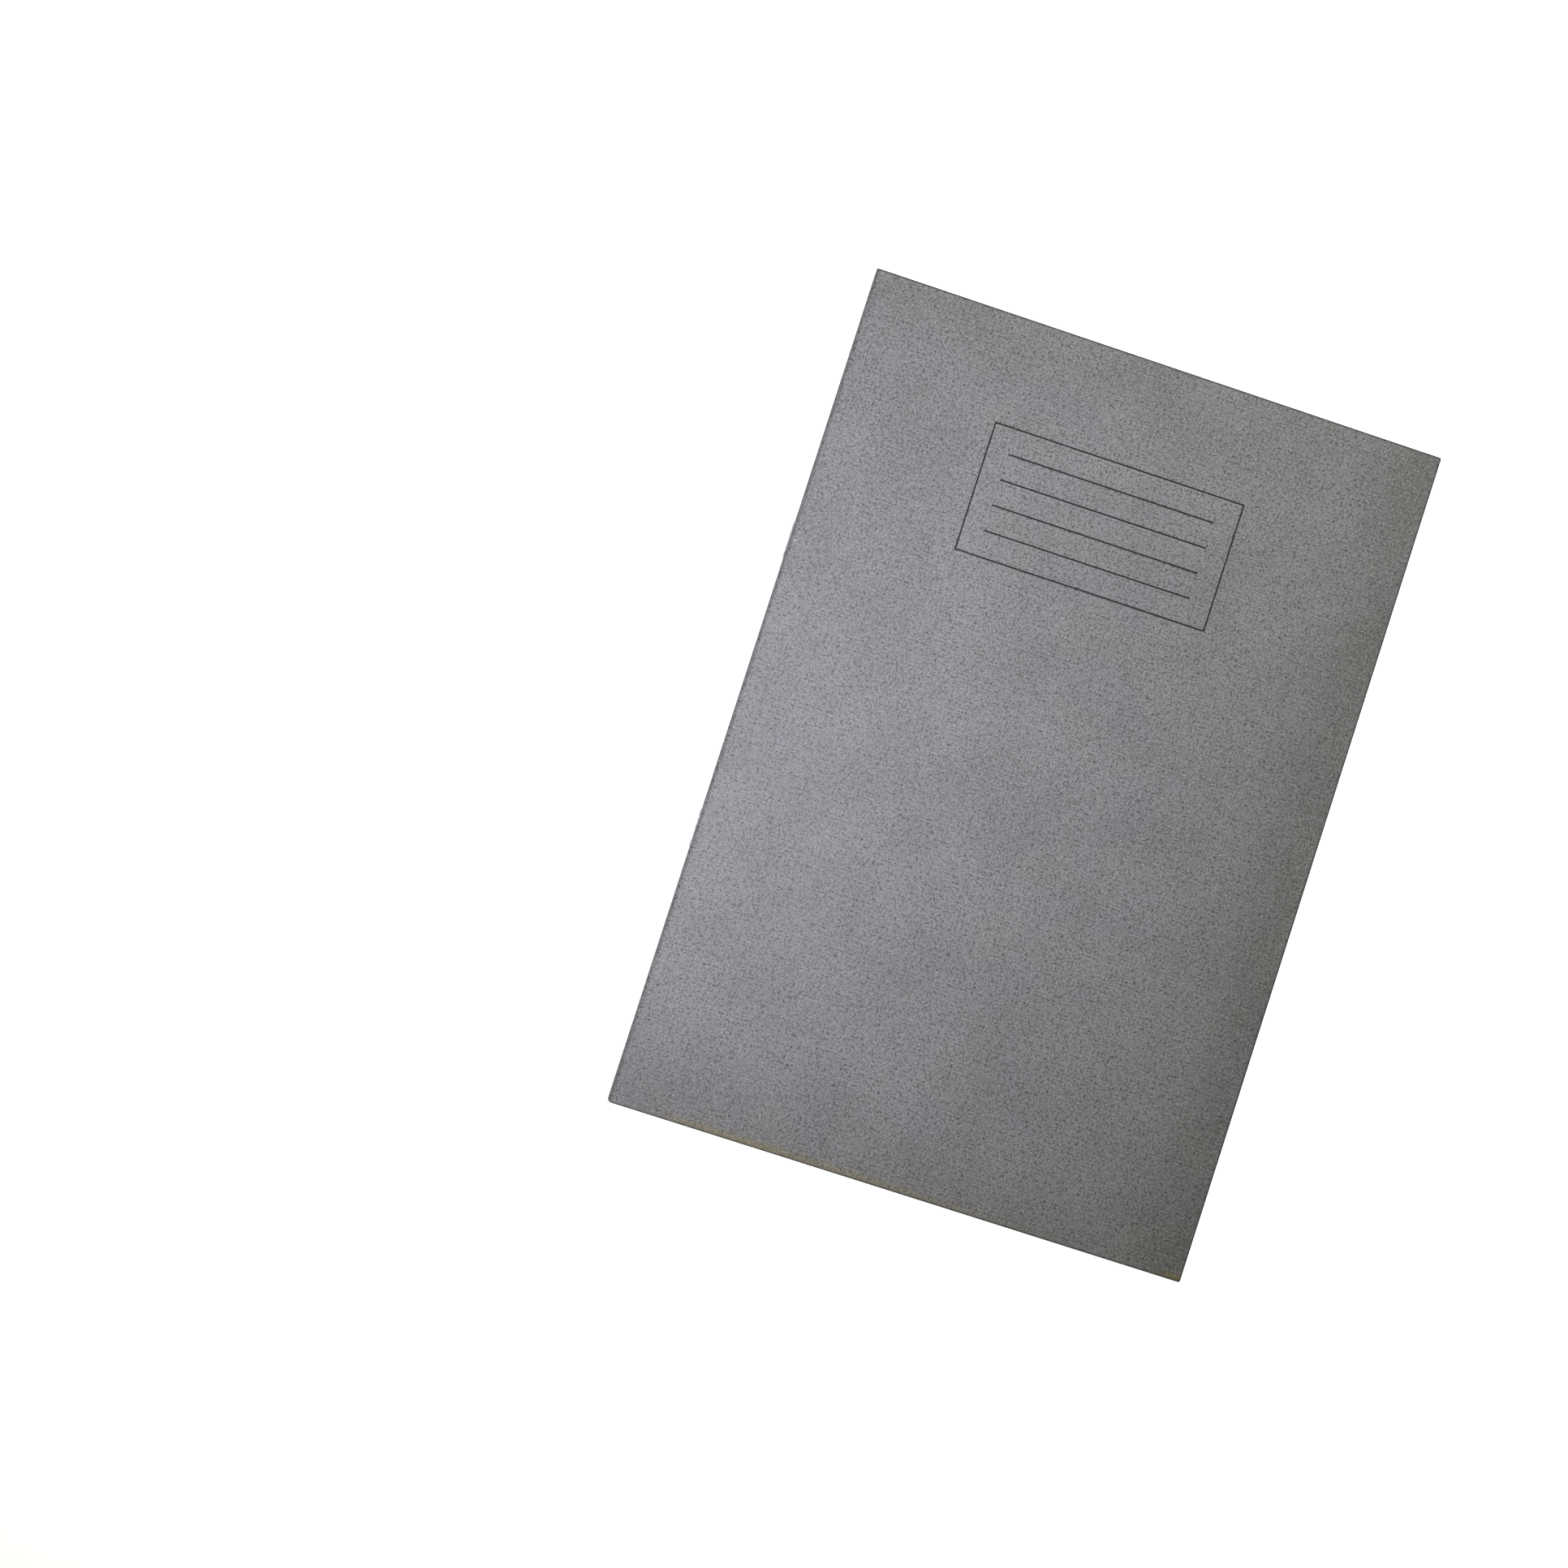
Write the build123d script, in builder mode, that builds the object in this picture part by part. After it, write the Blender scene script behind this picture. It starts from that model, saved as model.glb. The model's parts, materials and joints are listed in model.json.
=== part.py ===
from build123d import *
import os

# A stapled exercise book, closed, lying on its back cover.
# X runs from the spine to the fore edge, Y from the tail to the head, Z up from the table.
# The origin is the middle of the underside, with the staple crowns counted in the width.

# Driving dimensions, in millimetres
page_height = 297.0        # head to tail
closed_width = 205.0       # back of the spine to the fore edge
sheet_count = 20           # folded sheets, with two leaves each
paper_thickness = 0.1
card_thickness = 0.25
sheet_air = 0.015          # between neighbouring sheets, and under the cover
fold_allowance = 1.0       # from the fold axis to where the leaves and panels start
wire_diameter = 0.5
fold_clearance = 0.05      # between the wire and the innermost fold
hole_clearance = 0.03      # around the wire where it goes through the folds
crown_press = 0.15         # how deep the crown of a staple sits in the card
crown_length = 13.0
clinch_length = 4.5        # each leg, turned inwards along the fold
wire_bend_radius = 0.6
fold_roundness = 0.5       # corner radius of a fold, as a share of its half width
staple_inset = 97.0        # middle of a staple, from the head or from the tail

# Where things lie across the book, measured from the fold axis outwards
middle_fold_radius = wire_diameter / 2 + fold_clearance
sheet_pitch = paper_thickness + sheet_air
cover_inner_radius = middle_fold_radius + sheet_count * sheet_pitch
half_thickness = cover_inner_radius + card_thickness

# Where things lie along X and Z
crown_height = wire_diameter - crown_press
fore_edge_x = (closed_width + crown_height) / 2
spine_x = fore_edge_x - closed_width
crown_x = spine_x - crown_height + wire_diameter / 2
fold_x = spine_x + half_thickness
fold_z = half_thickness
panel_start_x = fold_x + fold_allowance
panel_width = fore_edge_x - panel_start_x
panel_middle_x = (fore_edge_x + panel_start_x) / 2
fold_plane = Plane(origin=(fold_x, 0, fold_z), x_dir=(1, 0, 0), z_dir=(0, -1, 0))
staple_plane = Plane.XY.offset(fold_z)
staple_middles = {
    "staple_upper": page_height / 2 - staple_inset,
    "staple_lower": staple_inset - page_height / 2,
}

os.makedirs("parts", exist_ok=True)


def panel_sketch(low_z):
    """The flat outline that every leaf and both cover panels share."""
    with BuildSketch(Plane.XY.offset(low_z)) as outline:
        with Locations((panel_middle_x, 0)):
            Rectangle(panel_width, page_height)
    return outline.sketch


def fold_sketch(inner, thickness):
    """A strip pressed flat round the fold axis, with a straight leg up to each panel."""
    outer = inner + thickness
    reach = fold_allowance
    inner_corner = fold_roundness * inner
    outer_corner = inner_corner + thickness
    inside = [(reach, inner), (-inner, inner), (-inner, -inner), (reach, -inner)]
    outside = [(reach, -outer), (-outer, -outer), (-outer, outer), (reach, outer)]
    with BuildSketch(fold_plane) as strip:
        with BuildLine():
            FilletPolyline(*inside, radius=inner_corner)
            Line(inside[-1], outside[0])
            FilletPolyline(*outside, radius=outer_corner)
            Line(outside[-1], inside[0])
        make_face()
    return strip.sketch


def round_wire(middle_y, radius):
    """Wire bent into a staple: clinched tip, leg, crown, leg, clinched tip."""
    low_y = middle_y - crown_length / 2
    high_y = middle_y + crown_length / 2
    with BuildPart() as wire:
        with BuildLine(staple_plane) as route:
            FilletPolyline(
                (fold_x, low_y + clinch_length),
                (fold_x, low_y),
                (crown_x, low_y),
                (crown_x, high_y),
                (fold_x, high_y),
                (fold_x, high_y - clinch_length),
                radius=wire_bend_radius,
            )
        with BuildSketch(Plane(origin=route.line @ 0, z_dir=route.line % 0)):
            Circle(radius)
        sweep(path=route.line)
    return wire.part


# Leaves. Leaf 1 lies under the front cover and the last leaf on the back cover.
# The first and the last leaf are one folded sheet, the second and the last but one the next.
leaf_count = 2 * sheet_count
for number in range(1, leaf_count + 1):
    in_front = number <= sheet_count
    sheets_inside = sheet_count - number if in_front else number - sheet_count - 1
    inner = middle_fold_radius + sheets_inside * sheet_pitch
    low_z = fold_z + inner if in_front else fold_z - inner - paper_thickness
    with BuildPart() as leaf:
        extrude(panel_sketch(low_z), amount=paper_thickness)
    leaf.part.label = f"leaf_{number:02d}"
    export_step(leaf.part, f"parts/leaf_{number:02d}.step")

# Staples, crown outside the spine and legs clinched inside the middle fold
staple_holes = []
for name, middle_y in staple_middles.items():
    staple = round_wire(middle_y, wire_diameter / 2)
    staple.label = name
    export_step(staple, f"parts/{name}.step")
    staple_holes.append(round_wire(middle_y, wire_diameter / 2 + hole_clearance))

# The folds of all the sheets, one inside the other, pierced by both staples
with BuildPart() as sheet_folds:
    for sheets_inside in range(sheet_count):
        inner = middle_fold_radius + sheets_inside * sheet_pitch
        extrude(fold_sketch(inner, paper_thickness), amount=page_height / 2, both=True)
    add(staple_holes, mode=Mode.SUBTRACT)
sheet_folds.part.label = "sheet_folds"
export_step(sheet_folds.part, "parts/sheet_folds.step")

# The fold of the cover, round the sheets, pierced by both staples
with BuildPart() as cover_spine:
    extrude(fold_sketch(cover_inner_radius, card_thickness), amount=page_height / 2, both=True)
    add(staple_holes, mode=Mode.SUBTRACT)
cover_spine.part.label = "cover_spine"
export_step(cover_spine.part, "parts/cover_spine.step")

# The flat panels of the cover
with BuildPart() as front_cover:
    extrude(panel_sketch(fold_z + cover_inner_radius), amount=card_thickness)
front_cover.part.label = "front_cover"
export_step(front_cover.part, "parts/front_cover.step")

with BuildPart() as back_cover:
    extrude(panel_sketch(0), amount=card_thickness)
back_cover.part.label = "back_cover"
export_step(back_cover.part, "parts/back_cover.step")
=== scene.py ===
import json
import math

import bpy
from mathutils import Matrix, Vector


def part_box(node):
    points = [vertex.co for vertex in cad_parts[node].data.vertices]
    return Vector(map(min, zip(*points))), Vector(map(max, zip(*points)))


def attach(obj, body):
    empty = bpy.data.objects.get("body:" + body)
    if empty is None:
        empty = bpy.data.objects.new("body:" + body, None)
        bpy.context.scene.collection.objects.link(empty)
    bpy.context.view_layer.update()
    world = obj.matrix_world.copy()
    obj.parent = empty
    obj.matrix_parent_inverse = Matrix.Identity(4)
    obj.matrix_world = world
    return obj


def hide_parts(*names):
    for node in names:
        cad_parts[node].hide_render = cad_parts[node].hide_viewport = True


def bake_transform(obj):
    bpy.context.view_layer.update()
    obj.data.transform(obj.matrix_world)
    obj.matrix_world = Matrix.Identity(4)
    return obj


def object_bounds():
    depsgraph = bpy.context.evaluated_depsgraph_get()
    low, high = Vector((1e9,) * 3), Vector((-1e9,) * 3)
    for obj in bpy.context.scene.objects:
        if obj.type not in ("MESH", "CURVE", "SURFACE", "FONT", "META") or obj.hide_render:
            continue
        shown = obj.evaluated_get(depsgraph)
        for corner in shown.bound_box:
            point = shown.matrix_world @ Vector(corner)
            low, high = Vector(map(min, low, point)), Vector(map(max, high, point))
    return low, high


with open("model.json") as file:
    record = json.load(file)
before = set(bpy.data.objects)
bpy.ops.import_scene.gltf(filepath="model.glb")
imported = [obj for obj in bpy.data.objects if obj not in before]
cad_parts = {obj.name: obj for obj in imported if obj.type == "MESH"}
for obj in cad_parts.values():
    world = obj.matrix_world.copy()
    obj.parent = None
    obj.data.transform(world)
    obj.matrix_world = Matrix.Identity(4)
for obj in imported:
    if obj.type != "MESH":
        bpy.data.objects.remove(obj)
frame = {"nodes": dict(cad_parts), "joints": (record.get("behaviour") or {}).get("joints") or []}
cadLow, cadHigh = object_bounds()

mm = 0.001
sharpAngle = math.radians(40)    # edges that turn by more stay crisp


# What the frame says about the book, in metres
def jointPlace(name):
    joint = next(j for j in frame["joints"] if j["name"] == name)
    return Vector(joint["pos_m"])


foldLine = jointPlace("centre_fold")          # middle of the fold, the axis that the book opens on
frontLow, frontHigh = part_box("front_cover")
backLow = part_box("back_cover")[0]
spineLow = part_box("cover_spine")[0]
leafLow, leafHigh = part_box("leaf_20")         # the front leaf nearest the middle
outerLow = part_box("leaf_01")[0]               # the front leaf under the cover

bookHeight = frontHigh.y - frontLow.y
halfHeight = bookHeight / 2
foreEdge = frontHigh.x
leafReach = foreEdge - foldLine.x             # from the fold axis to the fore edge
cardThick = frontHigh.z - frontLow.z
paperThick = leafHigh.z - leafLow.z
coverRadius = foldLine.x - spineLow.x         # outside of the cover's fold
sheetTotal = sum(name.startswith("leaf_") for name in frame["nodes"]) // 2
middleRadius = leafLow.z - foldLine.z         # inside of the innermost fold
sheetStep = (outerLow.z - leafLow.z) / (sheetTotal - 1)


# Node helpers
def plug(tree, value, socket):
    if isinstance(value, bpy.types.NodeSocket):
        tree.links.new(value, socket)
    else:
        socket.default_value = value


def addNode(tree, kind, inputs=None, **options):
    node = tree.nodes.new(kind)
    for name, value in options.items():
        setattr(node, name, value)
    for key, value in (inputs or {}).items():
        plug(tree, value, node.inputs[key])
    return node


def calc(tree, operation, *values):
    node = addNode(tree, "ShaderNodeMath", dict(enumerate(values)), operation=operation)
    return node.outputs[0]


def vectorCalc(tree, operation, *values):
    node = addNode(tree, "ShaderNodeVectorMath", dict(enumerate(values)), operation=operation)
    return node.outputs[0]


def inSteps(tree, vector, size):    # the vector counted in steps of this size
    scale = calc(tree, "DIVIDE", 1.0, size)
    return addNode(tree, "ShaderNodeVectorMath", {0: vector, "Scale": scale}, operation="SCALE").outputs[0]


def fade(tree, value, low, high, atLow=0.0, atHigh=1.0, kind="SMOOTHSTEP"):    # a soft step
    inputs = {"Value": value, "From Min": low, "From Max": high, "To Min": atLow, "To Max": atHigh}
    return addNode(tree, "ShaderNodeMapRange", inputs, interpolation_type=kind).outputs[0]


def ramp(tree, value, low, high, atLow=0.0, atHigh=1.0):
    return fade(tree, value, low, high, atLow, atHigh, "LINEAR")


def splitXyz(tree, vector):
    return addNode(tree, "ShaderNodeSeparateXYZ", {0: vector}).outputs


def joinXyz(tree, x, y, z):
    return addNode(tree, "ShaderNodeCombineXYZ", {0: x, 1: y, 2: z}).outputs[0]


def blendColour(tree, share, first, second, kind="MIX"):
    inputs = {0: share, 6: first, 7: second}
    return addNode(tree, "ShaderNodeMix", inputs, data_type="RGBA", blend_type=kind).outputs[2]


def noise(tree, vector, size, detail=2.0, roughness=0.5):    # size in metres, out 0 to 1
    inputs = {"Vector": vector, "Scale": 1 / size, "Detail": detail, "Roughness": roughness}
    return addNode(tree, "ShaderNodeTexNoise", inputs).outputs["Fac"]


def waver(tree, vector, size, reach, detail=2.0):    # noise from minus reach to plus reach
    return calc(tree, "MULTIPLY_ADD", noise(tree, vector, size, detail), 2 * reach, -reach)


def addSockets(tree, inputs, outputs):
    for name, kind, value in inputs:
        socket = tree.interface.new_socket(name, in_out="INPUT", socket_type=kind)
        if value is not None:
            socket.default_value = value
    for name, kind in outputs:
        tree.interface.new_socket(name, in_out="OUTPUT", socket_type=kind)
    return tree.nodes.new("NodeGroupInput").outputs, tree.nodes.new("NodeGroupOutput").inputs


# Object helpers
def addObject(name, data):
    made = bpy.data.objects.new(name, data)
    bpy.context.scene.collection.objects.link(made)
    return made


def smoothFaces(mesh):
    for polygon in mesh.polygons:
        polygon.use_smooth = True
    mesh.set_sharp_from_angle(angle=sharpAngle)


# Shader groups that the finishes share. Place is the flat position on the sheet, in metres.
floatKind, vectorKind = "NodeSocketFloat", "NodeSocketVector"

grainLook = {
    "layers": (("Fine", 1.0), ("Coarse", 3.0)),    # with the noise's detail
    "roughness": 0.6,
    "darkest": 0.3,
}


def makeFibreGrain():
    tree = bpy.data.node_groups.new("fibreGrain", "ShaderNodeTree")
    source, result = addSockets(
        tree,
        [("Place", vectorKind, None),
         ("Fine", floatKind, 0.0005), ("Fine Contrast", floatKind, 0.2),
         ("Coarse", floatKind, 0.002), ("Coarse Contrast", floatKind, 0.1)],
        [("Tone", floatKind), ("Relief", floatKind)],
    )
    tone, layers = 1.0, []
    for name, detail in grainLook["layers"]:
        inputs = {"Vector": inSteps(tree, source["Place"], source[name]), "Scale": 1.0,
                  "Detail": detail, "Roughness": grainLook["roughness"]}
        layers.append(addNode(tree, "ShaderNodeTexNoise", inputs).outputs["Fac"])
        swing = calc(tree, "SUBTRACT", layers[-1], 0.5)
        tone = calc(tree, "MULTIPLY_ADD", swing, source[name + " Contrast"], tone)
    plug(tree, calc(tree, "MAXIMUM", tone, grainLook["darkest"]), result["Tone"])
    plug(tree, layers[0], result["Relief"])
    return tree


# One short crooked fibre in some of the cells, each turned its own way and some fainter
fleckLook = {
    "scatter": 0.7,        # how freely they lie in their cells
    "swirl": 0.25,         # how far they are pulled about, in cells
    "swirlScale": 3.0,
    "swirlDetail": 2.0,
    "curve": 0.8,          # how much each one bends
    "edge": (0.1, 1.0),    # where it starts to fade and where it ends
    "faintest": 0.5,
}


def makeFibreFlecks():
    tree = bpy.data.node_groups.new("fibreFlecks", "ShaderNodeTree")
    source, result = addSockets(
        tree,
        [("Place", vectorKind, None), ("Spacing", floatKind, 0.001), ("Length", floatKind, 0.4),
         ("Width", floatKind, 0.1), ("Share", floatKind, 0.3), ("Shift", floatKind, 0.0)],
        [("Mask", floatKind)],
    )
    shift, swirl = source["Shift"], fleckLook["swirl"]
    cells = inSteps(tree, source["Place"], source["Spacing"])
    cells = vectorCalc(tree, "ADD", cells, joinXyz(tree, shift, shift, 0.0))
    inputs = {"Vector": cells, "Scale": fleckLook["swirlScale"], "Detail": fleckLook["swirlDetail"]}
    pull = addNode(tree, "ShaderNodeTexNoise", inputs).outputs["Color"]
    pull = vectorCalc(tree, "MULTIPLY_ADD", pull, (2 * swirl, 2 * swirl, 0.0), (-swirl, -swirl, 0.0))
    cells = vectorCalc(tree, "ADD", cells, pull)
    inputs = {"Vector": cells, "Scale": 1.0, "Randomness": fleckLook["scatter"]}
    found = addNode(tree, "ShaderNodeTexVoronoi", inputs, voronoi_dimensions="2D").outputs
    chance = splitXyz(tree, found["Color"])
    inputs = {"Vector": vectorCalc(tree, "SUBTRACT", cells, found["Position"]),
              "Angle": calc(tree, "MULTIPLY", chance[0], math.tau)}
    turned = addNode(tree, "ShaderNodeVectorRotate", inputs, rotation_type="Z_AXIS").outputs[0]
    along = splitXyz(tree, turned)
    bow = calc(tree, "MULTIPLY", along[0], along[0])
    side = calc(tree, "MULTIPLY_ADD", bow, fleckLook["curve"], along[1])
    fromAxis = calc(tree, "POWER", calc(tree, "DIVIDE", along[0], source["Length"]), 2.0)
    fromSide = calc(tree, "POWER", calc(tree, "DIVIDE", side, source["Width"]), 2.0)
    mask = fade(tree, calc(tree, "ADD", fromAxis, fromSide), *fleckLook["edge"], 1.0, 0.0)
    present = calc(tree, "LESS_THAN", chance[1], source["Share"])
    strong = ramp(tree, chance[2], 0.0, 1.0, fleckLook["faintest"], 1.0)
    plug(tree, calc(tree, "MULTIPLY", mask, calc(tree, "MULTIPLY", present, strong)), result["Mask"])
    return tree


edgeLook = {"raggedSize": 4 * mm, "raggedDetail": 3.0}


def makeEdgeBand():
    # 1 on the cut edges, 0 from Width inwards, with a ragged inner line
    tree = bpy.data.node_groups.new("edgeBand", "ShaderNodeTree")
    source, result = addSockets(
        tree,
        [("Place", vectorKind, None), ("Fore Edge", floatKind, 0.2), ("Half Height", floatKind, 0.15),
         ("Width", floatKind, 0.001), ("Ragged", floatKind, 0.0005)],
        [("Band", floatKind)],
    )
    spot = splitXyz(tree, source["Place"])
    fromFore = calc(tree, "SUBTRACT", source["Fore Edge"], calc(tree, "ABSOLUTE", spot[0]))
    fromEnd = calc(tree, "SUBTRACT", source["Half Height"], calc(tree, "ABSOLUTE", spot[1]))
    nearest = calc(tree, "MINIMUM", fromFore, fromEnd)
    rough = noise(tree, source["Place"], edgeLook["raggedSize"], edgeLook["raggedDetail"])
    wavy = calc(tree, "MULTIPLY_ADD", calc(tree, "SUBTRACT", rough, 0.5), source["Ragged"], nearest)
    plug(tree, fade(tree, wavy, 0.0, source["Width"], 1.0, 0.0), result["Band"])
    return tree


fibreGrain = makeFibreGrain()
fibreFlecks = makeFibreFlecks()
edgeBand = makeEdgeBand()
print("shader groups: fibre grain, fibre flecks, edge band")


# Material helpers. A look is a finish's own dictionary.
def startMaterial(name):
    material = bpy.data.materials.new(name)
    material.use_nodes = True
    tree = material.node_tree
    return material, tree, tree.nodes["Principled BSDF"]


def flatPlace(tree):
    # place holds the distance from the fold along the sheet, the height, and 1 on the outer face
    stored = addNode(tree, "ShaderNodeAttribute", attribute_name="place").outputs["Vector"]
    spot = splitXyz(tree, stored)
    pattern = joinXyz(tree, calc(tree, "ADD", spot[0], spot[2]), spot[1], 0.0)
    reach = addNode(tree, "ShaderNodeAttribute", attribute_name="foreEdge").outputs["Fac"]
    return stored, spot, pattern, reach


def addGroup(tree, group, inputs):
    return addNode(tree, "ShaderNodeGroup", inputs, node_tree=group).outputs


def addGrain(tree, place, look):
    (fine, fineContrast), (coarse, coarseContrast) = look["fineGrain"], look["coarseGrain"]
    inputs = {"Place": place, "Fine": fine, "Fine Contrast": fineContrast,
              "Coarse": coarse, "Coarse Contrast": coarseContrast}
    return addGroup(tree, fibreGrain, inputs)


def addFlecks(tree, place, spacing, length, width, share, shift):
    inputs = {"Place": place, "Spacing": spacing * mm, "Length": length, "Width": width, "Share": share,
              "Shift": shift}
    return addGroup(tree, fibreFlecks, inputs)["Mask"]


def addRim(tree, place, reach, look):
    inputs = {"Place": place, "Fore Edge": reach, "Half Height": halfHeight, "Width": look["edgeWidth"],
              "Ragged": look["edgeRagged"]}
    return addGroup(tree, edgeBand, inputs)["Band"]


def finishRough(tree, shader, value, look):
    least, more = look["roughness"]
    plug(tree, calc(tree, "MULTIPLY_ADD", value, more, least), shader.inputs["Roughness"])


def finishBump(tree, shader, height, look):
    depth, strength = look["bump"]
    bump = addNode(tree, "ShaderNodeBump", {"Height": height, "Distance": depth, "Strength": strength})
    plug(tree, bump.outputs[0], shader.inputs["Normal"])


# Grey recycled card of the cover. Lengths along it are from the middle of the fold.
card = {
    "colour": (0.257, 0.257, 0.261, 1),
    "darkFibre": (0.068, 0.066, 0.061, 1),
    "paleFibre": (0.47, 0.47, 0.5, 1),
    "fineGrain": (0.64 * mm, 1.85),          # size and contrast
    "coarseGrain": (2.2 * mm, 0.4),
    # the card wanders a little in hue: size, warm and cold, as shares of its colour
    "hues": (
        (0.9 * mm, (1.02, 1.0, 0.975, 1), (0.985, 1.0, 1.022, 1)),
        (22 * mm, (1.0, 1.005, 0.984, 1), (1.0, 0.993, 1.016, 1)),
    ),
    "hueEdges": (0.35, 0.65),                # values of the noise that are all warm and all cold
    "hueShift": (0.5, 0.2, 0.0),             # so that hue and tone don't go together
    "cloud": 0.08,                           # it wanders in tone too, over cloudSize
    "cloudSize": 30 * mm,
    "cloudDetail": 3.0,
    "cloudEdges": (0.25, 0.75),
    # fibres: spacing in mm, length and width in spacings, share of the cells, shift, strength, colour
    "fibres": (
        (1.2, 0.45, 0.23, 0.6, 3.7, 0.85, "darkFibre"),
        (2.0, 0.36, 0.16, 0.55, 11.3, 0.95, "darkFibre"),
        (9.0, 0.1, 0.03, 0.3, 23.9, 0.6, "darkFibre"),
        (1.4, 0.4, 0.18, 0.55, 31.1, 0.6, "paleFibre"),
    ),
    "fibrePit": 0.4,                         # how deep the first of them lie in the relief
    "paintedShade": (0.77, 0.93, 0.89),             # painted shade: darker towards the fore edge, the head and the tail
    "paintedShadeWidth": 30 * mm,
    "paintedShadeBlue": 0.955,                      # share of the blue that is left where the painted shade is darkest
    "handled": (1.12, 0.97, 0.53, 1),        # olive tint along the tail, as a share of the colour
    "oliveTintDepth": (0.9 * mm, 4.0 * mm),    # full up to the first, gone at the second
    "oliveTintWaver": 1 * mm,                  # how far that wanders, and over what length
    "oliveTintWaverSize": 7 * mm,
    "oliveTintDetail": 3.0,
    "oliveTintLong": 0.8,                      # share of it in the long stretch
    "oliveTintStart": (12 * mm, 34 * mm),      # where the stretch comes in
    "handledEnd": (40 * mm, 200 * mm),       # and where it goes again
    "oliveTintCorner": (196 * mm, 203 * mm),   # where the corner begins
    # painted shade along the cut edges of the card
    "rimShade": (0.039, 0.039, 0.041, 1),
    "edgeWidth": 0.9 * mm,
    "edgeRagged": 0.3 * mm,
    "paleSpotColour": (0.8, 0.8, 0.8, 1),        # a pale spot beside the upper staple
    "paleSpotPlace": (3.69 * mm, 51.5 * mm, 1),  # along, up from the middle, and on the outer face
    "paleSpotSize": (0.176 * mm, 0.44 * mm),     # full up to the first, gone at the second
    "paleSpotStrength": 0.9,
    "paleSpotWaver": 0.2 * mm,
    "paleSpotWaverSize": 0.3 * mm,
    "roughness": (0.4, 0.2),                 # least, and how much the grain adds
    "bump": (0.03 * mm, 0.6),                # depth and strength
}


def tintTail(tree, colour, spot, pattern, fromTail):
    # on the outside of the front only, in one long stretch and at the corner
    coming = fade(tree, spot[0], *card["oliveTintStart"])
    going = fade(tree, spot[0], *card["handledEnd"], card["oliveTintLong"], 0.0)
    corner = fade(tree, spot[0], *card["oliveTintCorner"])
    stretch = calc(tree, "MAXIMUM", calc(tree, "MULTIPLY", coming, going), corner)
    stretch = calc(tree, "MULTIPLY", stretch, spot[2])
    uneven = waver(tree, pattern, card["oliveTintWaverSize"], card["oliveTintWaver"], card["oliveTintDetail"])
    deep = fade(tree, calc(tree, "ADD", fromTail, uneven), *card["oliveTintDepth"], 1.0, 0.0)
    return blendColour(tree, calc(tree, "MULTIPLY", deep, stretch), colour, card["handled"], "MULTIPLY")


def markPaleSpot(tree, colour, stored, pattern):
    inputs = {0: stored, 1: card["paleSpotPlace"]}
    away = addNode(tree, "ShaderNodeVectorMath", inputs, operation="DISTANCE").outputs["Value"]
    spotWaver = waver(tree, pattern, card["paleSpotWaverSize"], card["paleSpotWaver"])
    paleSpot = fade(tree, calc(tree, "ADD", away, spotWaver), *card["paleSpotSize"], card["paleSpotStrength"], 0.0)
    return blendColour(tree, paleSpot, colour, card["paleSpotColour"])


def makeCard():
    material, tree, shader = startMaterial("greyCard")
    stored, spot, pattern, reach = flatPlace(tree)
    grain = addGrain(tree, pattern, card)
    clouds = noise(tree, pattern, card["cloudSize"], card["cloudDetail"])
    cloudy = fade(tree, clouds, *card["cloudEdges"], 1 - card["cloud"], 1 + card["cloud"])
    fromFore = calc(tree, "SUBTRACT", reach, calc(tree, "ABSOLUTE", spot[0]))
    fromHead = calc(tree, "SUBTRACT", halfHeight, spot[1])
    fromTail = calc(tree, "ADD", halfHeight, spot[1])
    # painted shade: the card gets darker and less blue towards the fore edge, the head and the tail
    paintedShadeFactor = 1.0
    for away, dark in zip((fromFore, fromHead, fromTail), card["paintedShade"]):
        paintedShadeFactor = calc(tree, "MULTIPLY", paintedShadeFactor, fade(tree, away, 0.0, card["paintedShadeWidth"], dark, 1.0))
    tone = calc(tree, "MULTIPLY", calc(tree, "MULTIPLY", grain["Tone"], cloudy), paintedShadeFactor)
    blueLeft = ramp(tree, paintedShadeFactor, min(card["paintedShade"]), 1.0, card["paintedShadeBlue"], 1.0)
    blue = calc(tree, "MULTIPLY", tone, blueLeft)
    colour = blendColour(tree, 1.0, card["colour"], joinXyz(tree, tone, tone, blue), "MULTIPLY")
    elsewhere = vectorCalc(tree, "ADD", pattern, card["hueShift"])
    for size, warm, cold in card["hues"]:
        wander = fade(tree, noise(tree, elsewhere, size), *card["hueEdges"])
        colour = blendColour(tree, 1.0, colour, blendColour(tree, wander, warm, cold), "MULTIPLY")
    masks = []
    for *kind, strength, fibre in card["fibres"]:
        masks.append(addFlecks(tree, pattern, *kind))
        colour = blendColour(tree, calc(tree, "MULTIPLY", masks[-1], strength), colour, card[fibre])
    colour = tintTail(tree, colour, spot, pattern, fromTail)
    # painted shade: a dark band along the cut edges of the card
    colour = blendColour(tree, addRim(tree, stored, reach, card), colour, card["rimShade"])
    colour = markPaleSpot(tree, colour, stored, pattern)
    plug(tree, colour, shader.inputs["Base Color"])
    finishRough(tree, shader, grain["Relief"], card)
    relief = calc(tree, "MULTIPLY_ADD", masks[0], -card["fibrePit"], grain["Relief"])
    finishBump(tree, shader, relief, card)
    return material


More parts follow.
